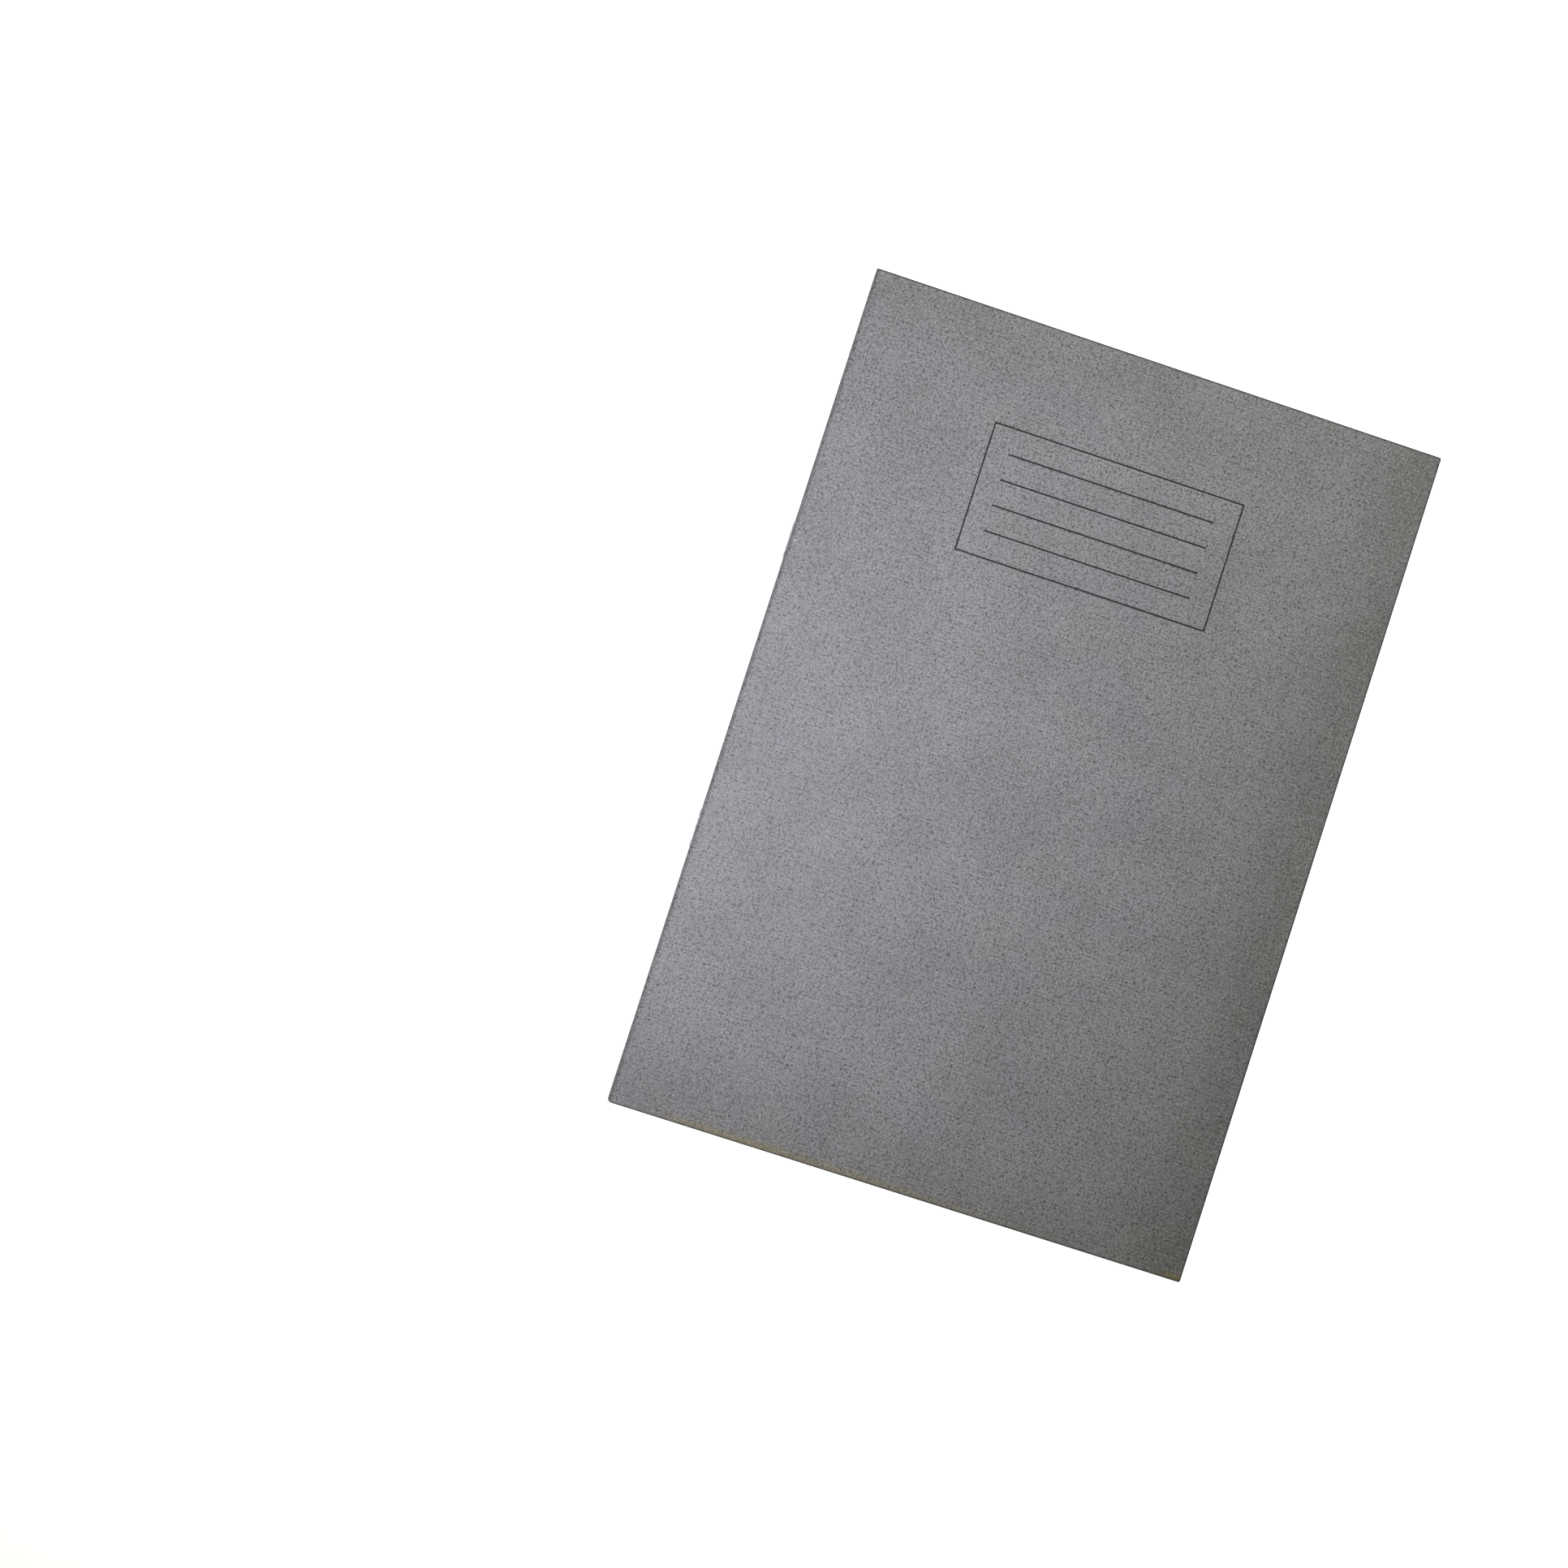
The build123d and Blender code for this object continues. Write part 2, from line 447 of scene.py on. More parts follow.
# Ruled white writing paper
paper = {
    "colour": (0.79, 0.79, 0.81, 1),
    "fineGrain": (0.35 * mm, 0.05),
    "coarseGrain": (6 * mm, 0.03),
    "fibre": (0.62, 0.62, 0.67, 1),
    "fibres": (3.1, 0.4, 0.04, 0.4, 7.7),    # as for the card
    "fibreStrength": 0.12,
    "lineInk": (0.34, 0.34, 0.37, 1),
    "marginInk": (0.76, 0.38, 0.39, 1),
    "inkStrength": 0.9,
    "inkEdge": (0.3, 0.7),                   # where a line's side begins and ends, in widths of the line
    "firstLine": 18.7 * mm,                  # from the head
    "linePitch": 8 * mm,
    "lineTotal": 34,
    "lineWidth": 0.34 * mm,
    "lineOnEdge": 0.3,                       # share of a line that shows on the cut edges,
    "lineOnFace": 0.8,                       # this far from the middle of the edge towards a face
    "marginWidth": 0.6 * mm,
    "rectoMargin": 28 * mm,                  # from the fold
    "versoMargin": 181.3 * mm,               # from the fold too
    # painted shade on the cut edges of the leaves, and how strong it is
    "edgeShade": (0.60, 0.59, 0.58, 1),
    "edgeShadeShare": 0.35,
    "edgeWidth": 0.35 * mm,
    "edgeRagged": 0.25 * mm,
    "creaseShade": (0.85, 0.85, 0.87, 1),         # painted shade in the fold, as a share of the paper's colour
    "creaseShadeWidth": (0.2 * mm, 0.6 * mm),     # full up to the first, gone at the second
    "roughness": (0.72, 0.15),
    "bump": (0.01 * mm, 0.5),
}


def inkEdge(width):
    return [share * width for share in paper["inkEdge"]]


def ruleLines(tree, spot):
    # feint lines across both pages
    fromFirst = calc(tree, "SUBTRACT", halfHeight - paper["firstLine"], spot[1])
    count = calc(tree, "DIVIDE", fromFirst, paper["linePitch"])
    nearest = calc(tree, "ROUND", count)
    off = calc(tree, "ABSOLUTE", calc(tree, "SUBTRACT", count, nearest))
    away = calc(tree, "MULTIPLY", off, paper["linePitch"])
    line = fade(tree, away, *inkEdge(paper["lineWidth"]), 1.0, 0.0)
    printed = calc(tree, "MULTIPLY", calc(tree, "GREATER_THAN", nearest, -0.5),
                   calc(tree, "LESS_THAN", nearest, paper["lineTotal"] - 0.5))
    inked = calc(tree, "MULTIPLY", calc(tree, "MULTIPLY", line, printed), paper["inkStrength"])
    # they lie on the faces and hardly show on the cut edges, between the inner face and the outer one
    fromMiddle = calc(tree, "ABSOLUTE", calc(tree, "SUBTRACT", spot[2], 0.5))
    onFace = ramp(tree, fromMiddle, paper["lineOnFace"] / 2, 0.5, paper["lineOnEdge"], 1.0)
    return calc(tree, "MULTIPLY", inked, onFace)


def ruleMargin(tree, spot):
    # on the left of every page, so it changes side with the face of the sheet
    inFront = calc(tree, "GREATER_THAN", spot[0], 0.0)
    outside = calc(tree, "GREATER_THAN", spot[2], 0.5)
    verso = calc(tree, "ABSOLUTE", calc(tree, "SUBTRACT", inFront, outside))
    further = paper["versoMargin"] - paper["rectoMargin"]
    marginAt = calc(tree, "MULTIPLY_ADD", verso, further, paper["rectoMargin"])
    fromFold = calc(tree, "ABSOLUTE", spot[0])
    away = calc(tree, "ABSOLUTE", calc(tree, "SUBTRACT", fromFold, marginAt))
    return fade(tree, away, *inkEdge(paper["marginWidth"]), paper["inkStrength"], 0.0)


def makePaper():
    material, tree, shader = startMaterial("ruledPaper")
    stored, spot, pattern, reach = flatPlace(tree)
    grain = addGrain(tree, pattern, paper)
    tone = grain["Tone"]
    colour = blendColour(tree, 1.0, paper["colour"], joinXyz(tree, tone, tone, tone), "MULTIPLY")
    flecks = addFlecks(tree, pattern, *paper["fibres"])
    flecks = calc(tree, "MULTIPLY", flecks, paper["fibreStrength"])
    colour = blendColour(tree, flecks, colour, paper["fibre"])
    colour = blendColour(tree, ruleMargin(tree, spot), colour, paper["marginInk"])
    colour = blendColour(tree, ruleLines(tree, spot), colour, paper["lineInk"])
    # painted shade on the cut edges of the leaves
    edgeShading = calc(tree, "MULTIPLY", addRim(tree, stored, reach, paper), paper["edgeShadeShare"])
    colour = blendColour(tree, edgeShading, colour, paper["edgeShade"])
    # painted shade in the fold of the paper
    creaseShading = fade(tree, calc(tree, "ABSOLUTE", spot[0]), *paper["creaseShadeWidth"], 1.0, 0.0)
    colour = blendColour(tree, creaseShading, colour, paper["creaseShade"], "MULTIPLY")
    plug(tree, colour, shader.inputs["Base Color"])
    finishRough(tree, shader, grain["Relief"], paper)
    finishBump(tree, shader, grain["Relief"], paper)
    return material


# Black printing ink of the label box, and galvanised stitching wire
ink = {
    "colours": ((0.012, 0.012, 0.013, 1), (0.037, 0.037, 0.039, 1)),    # full, and where it is thin
    "patches": (0.8, 1.25),              # tones of the grain that they start and end at
    "fineGrain": (0.4 * mm, 1.0),
    "coarseGrain": (3 * mm, 0.6),
    "roughness": (0.45, 0.2),
    "roughPatches": False,               # the grain makes it rougher, not the thin patches
    "metal": 0.0,
    "shine": 0.2,
    "bump": (0.01 * mm, 0.5),
}
wire = {
    "colours": ((0.75, 0.76, 0.77, 1), (0.44, 0.44, 0.45, 1)),          # bright zinc, and dulled
    "patches": (0.75, 1.25),
    "fineGrain": (0.12 * mm, 1.0),
    "coarseGrain": (0.8 * mm, 0.6),
    "roughness": (0.26, 0.25),
    "roughPatches": True,                # the dulled patches are the rough ones
    "metal": 1.0,
    "shine": 0.5,
    "bump": (0.01 * mm, 0.4),
}


def makePatchy(name, look):
    material, tree, shader = startMaterial(name)
    place = addNode(tree, "ShaderNodeTexCoord").outputs["Object"]
    grain = addGrain(tree, place, look)
    patchy = fade(tree, grain["Tone"], *look["patches"])
    plug(tree, blendColour(tree, patchy, *look["colours"]), shader.inputs["Base Color"])
    finishRough(tree, shader, patchy if look["roughPatches"] else grain["Relief"], look)
    finishBump(tree, shader, grain["Relief"], look)
    shader.inputs["Metallic"].default_value = look["metal"]
    shader.inputs["Specular IOR Level"].default_value = look["shine"]
    return material


greyCard = makeCard()
ruledPaper = makePaper()
labelInk = makePatchy("labelInk", ink)
stapleWire = makePatchy("stapleWire", wire)
print("materials: grey card, ruled paper, label ink, staple wire")


# A sheet folded once round the fold axis and pressed, with a leg to each side.
# It grows outwards from its inside radius. The back of the fold is flat, and its corners are round.
fold = {
    "roundness": 0.5,           # radius of the corners, as a share of the inside radius
    "columnShare": 0.4,         # share of the columns in the fold
    "turnShare": (0.2, 0.8),    # share of those where a corner begins and ends
    "crowding": 2.2,            # how the other columns crowd towards the fold
    "tailRound": 1.6 * mm,      # worn corner at the tail of the spine
    "headRound": 0.3 * mm,
    "sink": 0.012,              # the corners lie a little lower than the legs, as a share of the radius
    "shortfall": 0.08 * mm,     # and the ends stop short of the legs' ends, as the paper crumples there
    "weld": 0.001 * mm,
}


def foldLength(radius):         # from the middle of the back to the fold axis, along the sheet
    return radius * (2 - 2 * fold["roundness"] + fold["roundness"] * math.pi / 2)


def storeOnPoints(tree, geometry, name, value, kind, **more):
    inputs = {"Geometry": geometry, "Name": name, "Value": value, **more}
    node = addNode(tree, "GeometryNodeStoreNamedAttribute", inputs, data_type=kind, domain="POINT")
    return node.outputs[0]


def finishTree(tree, geometry, material, result):
    whole = addNode(tree, "GeometryNodeRealizeInstances", {"Geometry": geometry})
    inputs = {"Geometry": whole.outputs[0], "Material": material}
    plug(tree, addNode(tree, "GeometryNodeSetMaterial", inputs).outputs[0], result["Geometry"])


def trimReach(tree, source, half):
    # each leaf's fore edge was cut a little differently
    trim = calc(tree, "MULTIPLY", source["Trim"], -1.0)
    inputs = {2: trim, 3: 0.0, "ID": calc(tree, "ROUND", half), "Seed": source["Seed"]}
    cut = addNode(tree, "FunctionNodeRandomValue", inputs, data_type="FLOAT").outputs[1]
    return calc(tree, "ADD", source["Reach"], cut)


def roundEnd(tree, size, fromBack):
    # how far an end of the fold is drawn in, seen from above, towards the back of the spine
    over = calc(tree, "MAXIMUM", calc(tree, "SUBTRACT", size, fromBack), 0.0)
    squared = calc(tree, "SUBTRACT", calc(tree, "MULTIPLY", size, size), calc(tree, "MULTIPLY", over, over))
    return calc(tree, "SUBTRACT", size, calc(tree, "SQRT", calc(tree, "MAXIMUM", squared, 0.0)))


def thicken(tree, face, thickness):
    # the outer face is pushed out, and the inner face turned to close the sheet
    inputs = {"Mesh": face, "Offset Scale": thickness, "Individual": False}
    outer = addNode(tree, "GeometryNodeExtrudeMesh", inputs, mode="FACES").outputs
    stored = addNode(tree, "GeometryNodeInputNamedAttribute", {"Name": "place"}, data_type="FLOAT_VECTOR")
    onOuter = vectorCalc(tree, "ADD", stored.outputs["Attribute"], (0.0, 0.0, 1.0))
    marked = storeOnPoints(tree, outer["Mesh"], "place", onOuter, "FLOAT_VECTOR", Selection=outer["Top"])
    inner = addNode(tree, "GeometryNodeFlipFaces", {"Mesh": face}).outputs[0]
    both = addNode(tree, "GeometryNodeJoinGeometry")
    for part in (inner, marked):
        tree.links.new(part, both.inputs[0])
    inputs = {"Geometry": both.outputs[0], "Distance": fold["weld"]}
    return addNode(tree, "GeometryNodeMergeByDistance", inputs).outputs[0]


def makeFoldTree():
    tree = bpy.data.node_groups.new("foldedSheet", "GeometryNodeTree")
    source, result = addSockets(
        tree,
        [("Inside Radius", floatKind, 0.001), ("Settled Offset", floatKind, 0.001),
         ("Settle Length", floatKind, 0.03), ("Reach", floatKind, 0.2), ("Height", floatKind, 0.3),
         ("Thickness", floatKind, 0.0001), ("Fold Centre", vectorKind, None), ("Trim", floatKind, 0.0),
         ("Spine Edge", floatKind, 0.003), ("Tail Round", floatKind, 0.0), ("Head Round", floatKind, 0.0),
         ("Columns", "NodeSocketInt", 51), ("Rows", "NodeSocketInt", 9), ("Seed", "NodeSocketInt", 0),
         ("Finish", "NodeSocketMaterial", None)],
        [("Geometry", "NodeSocketGeometry")],
    )
    inputs = {"Size X": 2.0, "Size Y": 1.0, "Vertices X": source["Columns"], "Vertices Y": source["Rows"]}
    grid = addNode(tree, "GeometryNodeMeshGrid", inputs).outputs["Mesh"]
    spot = splitXyz(tree, addNode(tree, "GeometryNodeInputPosition").outputs[0])
    share = calc(tree, "ABSOLUTE", spot[0])
    half = calc(tree, "SIGN", spot[0])
    inFold = calc(tree, "DIVIDE", share, fold["columnShare"])
    past = ramp(tree, share, fold["columnShare"], 1.0)
    reach = trimReach(tree, source, half)
    along = calc(tree, "MULTIPLY", calc(tree, "POWER", past, fold["crowding"]), reach)
    radius = source["Inside Radius"]
    corner = calc(tree, "MULTIPLY", radius, fold["roundness"])
    straight = calc(tree, "SUBTRACT", radius, corner)
    turnStart, turnEnd = fold["turnShare"]
    rise = ramp(tree, inFold, 0.0, turnStart)                            # up the back of the fold,
    turn = ramp(tree, inFold, turnStart, turnEnd, 0.0, math.pi / 2)      # round its corner
    run = ramp(tree, inFold, turnEnd, 1.0)                               # and on to the fold axis
    # away from the fold, the leaf settles on the ones inside it
    settled = fade(tree, along, 0.0, source["Settle Length"])
    closer = calc(tree, "SUBTRACT", calc(tree, "DIVIDE", source["Settled Offset"], radius), 1.0)
    squeeze = calc(tree, "MULTIPLY_ADD", settled, closer, 1.0)
    toGo = calc(tree, "MULTIPLY", straight, calc(tree, "SUBTRACT", 1.0, run))
    backwards = calc(tree, "MULTIPLY_ADD", corner, calc(tree, "COSINE", turn), toGo)
    risen = calc(tree, "MULTIPLY", straight, rise)
    upwards = calc(tree, "MULTIPLY_ADD", corner, calc(tree, "SINE", turn), risen)
    upwards = calc(tree, "MULTIPLY", upwards, ramp(tree, run, 0.0, 1.0, 1 - fold["sink"], 1.0))
    x = calc(tree, "SUBTRACT", along, backwards)
    z = calc(tree, "MULTIPLY", calc(tree, "MULTIPLY", upwards, squeeze), half)
    lower = calc(tree, "SUBTRACT", 1.0, calc(tree, "DIVIDE", upwards, radius))
    short = calc(tree, "MULTIPLY", lower, fold["shortfall"])
    fromBack = calc(tree, "ADD", x, source["Spine Edge"])
    tailIn, headIn = (calc(tree, "ADD", roundEnd(tree, source[name], fromBack), short)
                      for name in ("Tail Round", "Head Round"))
    tail = calc(tree, "MULTIPLY_ADD", source["Height"], -0.5, tailIn)
    head = calc(tree, "SUBTRACT", calc(tree, "MULTIPLY", source["Height"], 0.5), headIn)
    y = ramp(tree, spot[1], -0.5, 0.5, tail, head)
    legs = calc(tree, "ADD", rise, run)
    inside = calc(tree, "MULTIPLY_ADD", straight, legs, calc(tree, "MULTIPLY", corner, turn))
    flat = calc(tree, "MULTIPLY", calc(tree, "ADD", inside, along), half)
    edge = calc(tree, "MULTIPLY_ADD", radius, foldLength(1.0), reach)
    placed = storeOnPoints(tree, grid, "place", joinXyz(tree, flat, y, 0.0), "FLOAT_VECTOR")
    edged = storeOnPoints(tree, placed, "foreEdge", edge, "FLOAT")
    position = vectorCalc(tree, "ADD", joinXyz(tree, x, y, z), source["Fold Centre"])
    bent = addNode(tree, "GeometryNodeSetPosition", {"Geometry": edged, "Position": position}).outputs[0]
    finishTree(tree, thicken(tree, bent, source["Thickness"]), source["Finish"], result)
    return tree


def runTree(name, tree, values):
    # a plain mesh of what the tree makes, in an object at the origin
    start = addObject(name + "_start", bpy.data.meshes.new(name + "_start"))
    modifier = start.modifiers.new("tree", "NODES")
    modifier.node_group = tree
    for item in tree.interface.items_tree:
        if item.in_out == "INPUT" and item.name in values:
            modifier[item.identifier] = values[item.name]
    ready = start.evaluated_get(bpy.context.evaluated_depsgraph_get())
    mesh = bpy.data.meshes.new_from_object(ready)
    mesh.name = name
    start.modifiers.remove(modifier)
    bpy.data.objects.remove(start)
    smoothFaces(mesh)
    return addObject(name, mesh)


foldedSheet = makeFoldTree()

# The sheets, from the outermost inwards
sheets = {
    "middleGap": 0.04 * mm,     # from the fold axis to the innermost leaves, away from the fold
    "uneven": 0.012 * mm,       # how unevenly they lie on each other there
    "unevenTurn": 2.4,          # and how that changes from one to the next
    "settleLength": 14 * mm,    # over which the leaves settle from their folds
    "trim": 0.12 * mm,          # how unevenly the fore edges were cut
    "roundMore": 0.3 * mm,      # their folds are rounder at the ends than the cover's
    "columns": 51,
    "rows": 9,
}


def makeSheets():
    step = (outerLow.z - foldLine.z - sheets["middleGap"]) / (sheetTotal - 1)
    values = {
        "Settle Length": sheets["settleLength"],
        "Reach": leafReach,
        "Height": bookHeight,
        "Thickness": paperThick,
        "Fold Centre": foldLine,
        "Trim": sheets["trim"],
        "Spine Edge": coverRadius,
        "Tail Round": fold["tailRound"] + sheets["roundMore"],
        "Head Round": fold["headRound"] + sheets["roundMore"],
        "Columns": sheets["columns"],
        "Rows": sheets["rows"],
        "Finish": ruledPaper,
    }
    for number in range(1, sheetTotal + 1):
        inside = sheetTotal - number         # sheets nearer the middle
        wave = math.sin(sheets["unevenTurn"] * inside)
        offset = sheets["middleGap"] + inside * step + sheets["uneven"] * wave
        values["Inside Radius"] = middleRadius + inside * sheetStep
        values["Settled Offset"] = offset
        values["Seed"] = number
        piece = runTree(f"sheet_{number:02d}", foldedSheet, values)
        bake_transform(piece)
        leaves = [f"leaf_{number:02d}", f"leaf_{2 * sheetTotal + 1 - number:02d}"]
        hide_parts(*leaves, *(["sheet_folds"] if number == 1 else []))


makeSheets()
print("sheets:", sheetTotal)

# The cover: front panel, fold and back panel of one card
cover = {
    "legLength": 0.3 * mm,       # of the fold's card, beyond the fold axis
    "bendLength": 1.4 * mm,      # of the front panel, where it bends to open
    "cornerRadius": 0.7 * mm,
    "foldColumns": 101,
    "bendColumns": 12,
    "panelColumns": 20,
    "cornerColumns": 6,
    "rows": 17,
}
coverInside = coverRadius - cardThick
coverEdge = foldLength(coverInside) + leafReach    # the fore edge, from the middle of the fold


def spread(start, end, count):
    return [start + (end - start) * i / count for i in range(count)]


def panelColumns(start, bendEnd):
    corner, count = cover["cornerRadius"], cover["cornerColumns"]
    flatEnd = foreEdge - corner
    columns = spread(start, bendEnd, cover["bendColumns"]) if bendEnd > start else []
    columns += spread(bendEnd, flatEnd, cover["panelColumns"])
    return columns + [flatEnd + corner * math.sin(math.pi / 2 * i / count) for i in range(count + 1)]


def panelFaces(columnTotal, rows):
    # two layers of points, column by column, closed round their rim
    last, layer = columnTotal - 1, columnTotal * rows
    faces = []
    for c in range(last):
        for r in range(rows - 1):
            a, b = c * rows + r, (c + 1) * rows + r
            faces.append((a, a + 1, b + 1, b))
            faces.append((a + layer, b + layer, b + 1 + layer, a + 1 + layer))
        for r, turn in ((0, 1), (rows - 1, -1)):
            a, b = c * rows + r, (c + 1) * rows + r
            faces.append((a, b, b + layer, a + layer)[::turn])
    for c, turn in ((0, -1), (last, 1)):
        for r in range(rows - 1):
            a = c * rows + r
            faces.append((a, a + 1, a + 1 + layer, a + layer)[::turn])
    return faces


def storeEdge(attribute, total):
    attribute.data.foreach_set("value", [coverEdge] * total)


def makePanel(name, start, bendEnd, lowZ, outerUp):
    # a flat card panel with rounded corners at its fore edge
    corner, rows = cover["cornerRadius"], cover["rows"]
    columns = panelColumns(start, bendEnd)
    side = 1 if outerUp else -1
    points, places = [], []
    for top in (0, 1):
        for x in columns:
            over = max(0.0, x - (foreEdge - corner))
            endY = halfHeight - (corner - math.sqrt(max(0.0, corner ** 2 - over ** 2)))
            flat = foldLength(coverInside) + x - foldLine.x
            for row in range(rows):
                y = endY * (2 * row / (rows - 1) - 1)
                points.append((x, y, lowZ + top * cardThick))
                places.append((side * flat, y, 1.0 if bool(top) == outerUp else 0.0))
    mesh = bpy.data.meshes.new(name)
    mesh.from_pydata(points, [], panelFaces(len(columns), rows))
    place = mesh.attributes.new("place", "FLOAT_VECTOR", "POINT")
    place.data.foreach_set("vector", [v for spot in places for v in spot])
    storeEdge(mesh.attributes.new("foreEdge", "FLOAT", "POINT"), len(points))
    mesh.materials.append(greyCard)
    smoothFaces(mesh)
    piece = addObject(name, mesh)
    return piece


def makeCover():
    seam = foldLine.x + cover["legLength"]
    bendEnd = seam + cover["bendLength"]
    front = makePanel("cover_front_panel", seam, bendEnd, frontLow.z, True)
    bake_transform(front)
    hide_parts("front_cover")
    back = makePanel("cover_back_panel", seam, seam, backLow.z, False)
    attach(back, "back_half")
    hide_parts("back_cover")
    values = {
        "Inside Radius": coverInside,
        "Settled Offset": coverInside,
        "Settle Length": cover["legLength"],
        "Reach": cover["legLength"],
        "Height": bookHeight,
        "Thickness": cardThick,
        "Fold Centre": foldLine,
        "Trim": 0.0,
        "Spine Edge": coverRadius,
        "Tail Round": fold["tailRound"],
        "Head Round": fold["headRound"],
        "Columns": cover["foldColumns"],
        "Rows": cover["rows"],
        "Seed": 0,
        "Finish": greyCard,
    }
    spine = runTree("cover_fold", foldedSheet, values)
    storeEdge(spine.data.attributes["foreEdge"], len(spine.data.vertices))
    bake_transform(spine)
    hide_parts("cover_spine")


makeCover()
print("cover: front panel, fold, back panel")

# The label box printed on the front, with lines to write on
label = {
    "left": 54.65 * mm,        # from the back of the spine
    "top": 37.2 * mm,          # from the head
    "width": 89.9 * mm,
    "height": 45.4 * mm,
    "stroke": 0.54 * mm,
    "lineTotal": 4,
    "lineInset": 7.4 * mm,     # from the box's left side
    "lineLength": 74.5 * mm,
    "inkDepth": 0.02 * mm,
    "clear": 1.02,             # strokes that the uprights stop short by, to keep clear of the level ones
    "levelPoints": 40,         # along a level stroke
    "uprightPoints": 20,
}


def makeLabelTree():
    tree = bpy.data.node_groups.new("labelPrint", "GeometryNodeTree")
    source, result = addSockets(
        tree,
        [("Width", floatKind, 0.09), ("Height", floatKind, 0.045), ("Stroke", floatKind, 0.0004),
         ("Depth", floatKind, 0.00002), ("Lines", "NodeSocketInt", 4), ("Line Inset", floatKind, 0.007),
         ("Line Length", floatKind, 0.075), ("Corner", vectorKind, None),
         ("Ink", "NodeSocketMaterial", None)],
        [("Geometry", "NodeSocketGeometry")],
    )
    width, height, stroke, depth = (source[i] for i in range(4))
    lines, lineLength = source["Lines"], source["Line Length"]
    pitch = calc(tree, "DIVIDE", height, calc(tree, "ADD", lines, 1.0))
    upright = calc(tree, "MULTIPLY_ADD", stroke, -label["clear"], height)
    lineMiddle = calc(tree, "MULTIPLY_ADD", lineLength, 0.5, source["Line Inset"])
    boxMiddle = calc(tree, "MULTIPLY", width, 0.5)
    boxWidth = calc(tree, "ADD", width, stroke)
    downBox = calc(tree, "MULTIPLY", height, -1.0)
    downHalf = calc(tree, "MULTIPLY", height, -0.5)
    downLine = calc(tree, "MULTIPLY", pitch, -1.0)
    level = (label["levelPoints"], 2)
    standing = (2, label["uprightPoints"])
    # rows of strokes: how many, the first one's middle, the step to the next, a stroke's size and points
    rows = (
        (2, (boxMiddle, 0.0), (0.0, downBox), (boxWidth, stroke), level),
        (2, (0.0, downHalf), (width, 0.0), (stroke, upright), standing),
        (lines, (lineMiddle, downLine), (0.0, downLine), (lineLength, stroke), level),
    )
    onCard = joinXyz(tree, 0.0, 0.0, calc(tree, "MULTIPLY", depth, 0.5))
    corner = vectorCalc(tree, "ADD", source["Corner"], onCard)
    joined = addNode(tree, "GeometryNodeJoinGeometry")
    for count, first, step, size, (acrossX, acrossY) in rows:
        start = vectorCalc(tree, "ADD", corner, joinXyz(tree, *first, 0.0))
        inputs = {"Count": count, "Start Location": start, "Offset": joinXyz(tree, *step, 0.0)}
        points = addNode(tree, "GeometryNodeMeshLine", inputs, mode="OFFSET").outputs[0]
        inputs = {"Size": joinXyz(tree, *size, depth), "Vertices X": acrossX, "Vertices Y": acrossY}
        bar = addNode(tree, "GeometryNodeMeshCube", inputs).outputs["Mesh"]
        placed = addNode(tree, "GeometryNodeInstanceOnPoints", {"Points": points, "Instance": bar})
        tree.links.new(placed.outputs[0], joined.inputs[0])
    finishTree(tree, joined.outputs[0], source["Ink"], result)
    return tree


def makeLabel():
    values = {
        "Width": label["width"],
        "Height": label["height"],
        "Stroke": label["stroke"],
        "Depth": label["inkDepth"],
        "Lines": label["lineTotal"],
        "Line Inset": label["lineInset"],
        "Line Length": label["lineLength"],
        "Corner": Vector((spineLow.x + label["left"], frontHigh.y - label["top"], frontHigh.z)),
        "Ink": labelInk,
    }
    piece = runTree("label_print", makeLabelTree(), values)
    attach(piece, "front_cover")


makeLabel()
print("label: box and", label["lineTotal"], "lines")

# Staples keep their solids, with the wire's finish
for name in ("staple_upper", "staple_lower"):
    staple = frame["nodes"][name]
    staple.data.materials.clear()
    staple.data.materials.append(stapleWire)
print("staples: 2")

# Floor, light and camera
studio = {
    "floorSize": 20.0,
    "floorColour": (0.93, 0.93, 0.93, 1),
    "floorRoughness": 0.9,
    "floorShine": 0.1,
    "floorGlow": 0.72,                   # seen by the camera only, so it doesn't light the book
    "floorDrop": 0.1 * mm,
    "airColour": (1.0, 1.0, 0.885, 1),
    "airStrength": 0.249,
    "backdropColour": (1.0, 1.0, 1.0, 1),
    "backdropStrength": 0.95,            # what the camera sees beyond the floor
    "keyPlace": (-0.16, -0.015, 0.78),
    "keyPower": 15.8,
    "keyColour": (0.868, 0.858, 1.0),
    "keyCone": 44,
    "keySoftness": 1.0,
    "keyRadius": 0.12,
    "fillPlace": (0.24, 0.52, 0.33),
    "fillPower": 8.5,
    "fillRadius": 0.2,
    "sunPlace": (0.7, -0.6, 0.055),      # low, so it lights the cut edges and hardly the cover
    "sunPower": 1.8,
    "sunAngle": 6,
}


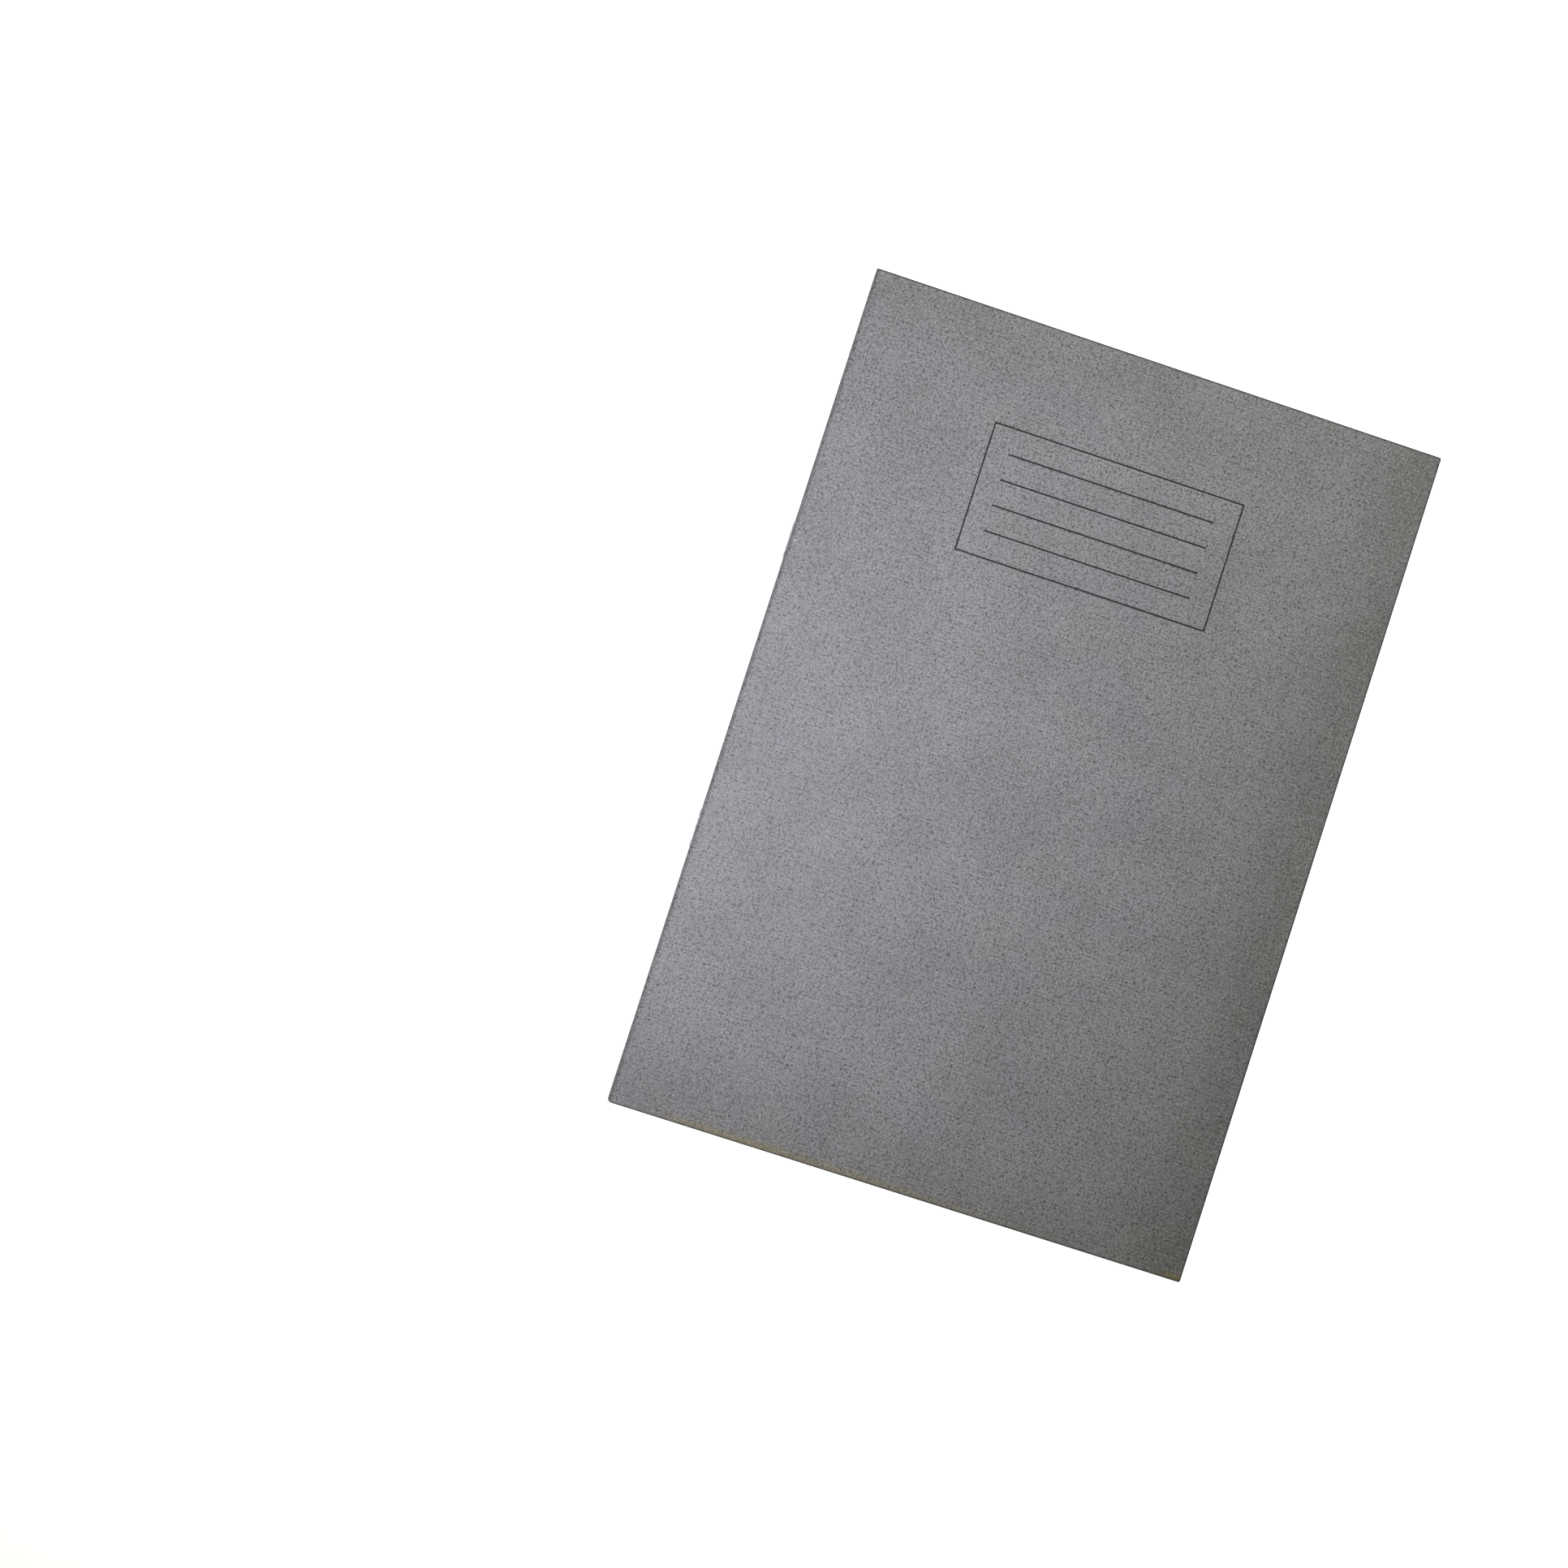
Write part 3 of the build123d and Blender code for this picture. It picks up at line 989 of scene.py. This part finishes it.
def makeFloor():
    size = studio["floorSize"]
    level = cadLow.z - studio["floorDrop"]
    corners = [(-size, -size, level), (size, -size, level), (size, size, level), (-size, size, level)]
    mesh = bpy.data.meshes.new("floor")
    mesh.from_pydata(corners, [], [(0, 1, 2, 3)])
    material, tree, shader = startMaterial("studioFloor")
    shader.inputs["Base Color"].default_value = studio["floorColour"]
    shader.inputs["Roughness"].default_value = studio["floorRoughness"]
    shader.inputs["Specular IOR Level"].default_value = studio["floorShine"]
    shader.inputs["Emission Color"].default_value = studio["floorColour"]
    seen = addNode(tree, "ShaderNodeLightPath").outputs["Is Camera Ray"]
    plug(tree, calc(tree, "MULTIPLY", seen, studio["floorGlow"]), shader.inputs["Emission Strength"])
    mesh.materials.append(material)
    floor = addObject("floor", mesh)


def makeAir():
    world = bpy.data.worlds.new("studioAir")
    bpy.context.scene.world = world
    world.use_nodes = True
    tree = world.node_tree
    air = tree.nodes["Background"].inputs
    seen = addNode(tree, "ShaderNodeLightPath").outputs["Is Camera Ray"]
    plug(tree, blendColour(tree, seen, studio["airColour"], studio["backdropColour"]), air["Color"])
    gain = studio["backdropStrength"] - studio["airStrength"]
    plug(tree, calc(tree, "MULTIPLY_ADD", seen, gain, studio["airStrength"]), air["Strength"])
    bpy.context.scene.view_settings.view_transform = "Standard"


def makeLamps():
    lamps = {}
    for name, kind in (("key", "SPOT"), ("fill", "POINT"), ("sun", "SUN")):
        lamp = bpy.data.lights.new(name + "Light", kind)
        lamp.energy = studio[name + "Power"]
        light = addObject(name + "Light", lamp)
        light.location = studio[name + "Place"]
        light.visible_camera = False
        if name == "sun":    # towards the book, while the key points straight down
            light.rotation_euler = light.location.to_track_quat("Z", "Y").to_euler()
        lamps[name] = lamp
    lamps["key"].color = studio["keyColour"]
    lamps["key"].spot_size = math.radians(studio["keyCone"])
    lamps["key"].spot_blend = studio["keySoftness"]
    lamps["key"].shadow_soft_size = studio["keyRadius"]
    lamps["fill"].shadow_soft_size = studio["fillRadius"]
    lamps["sun"].angle = math.radians(studio["sunAngle"])


# Nearly straight down, with the book turned clockwise in the frame
view = {
    "place": (-113.55 * mm, -44.68 * mm, 742.4 * mm),
    "turn": (0.372, -2.986, 17.958),
    "lens": 50,
    "sensor": 36,
    "nearest": 10 * mm,
}


def makeCamera():
    camera = addObject("camera", bpy.data.cameras.new("camera"))
    camera.data.lens = view["lens"]
    camera.data.sensor_width = view["sensor"]
    camera.data.clip_start = view["nearest"]
    camera.location = view["place"]
    camera.rotation_euler = [math.radians(angle) for angle in view["turn"]]
    bpy.context.scene.camera = camera


makeFloor()
makeAir()
makeLamps()
makeCamera()
print("studio: floor, light, camera")
